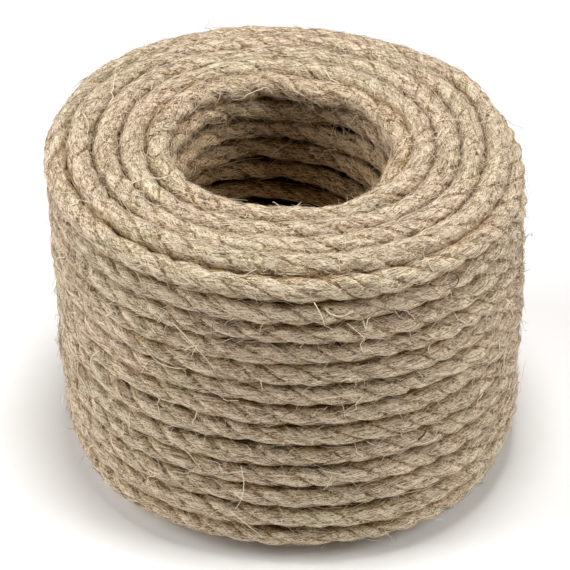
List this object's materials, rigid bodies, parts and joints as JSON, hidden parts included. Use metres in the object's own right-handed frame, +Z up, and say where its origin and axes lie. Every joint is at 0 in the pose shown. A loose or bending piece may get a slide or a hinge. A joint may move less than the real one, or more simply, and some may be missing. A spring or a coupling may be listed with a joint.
{
  "type": "roll of sisal rope",
  "caption": "Roll of natural fibre rope, laid in strands and wound in layers into a short hollow cylinder that stands on its end with an open bore down the middle.",
  "frame": {"origin": "under the middle of the roll, on the surface that it stands on", "axes": "+Z up along the axis of the winding and its bore; +X and +Y across the roll, with the winding leaving the outside for the top at -X"},
  "size_m": [0.1178, 0.1174, 0.0838],
  "materials": {
    "sisal_rope": "matt undyed sisal fibre, pale straw beige, hairy, with darker grooves between strands and turns"
  },
  "bodies": {
    "root": {"rope_roll": "sisal_rope"}
  },
  "joints": []
}
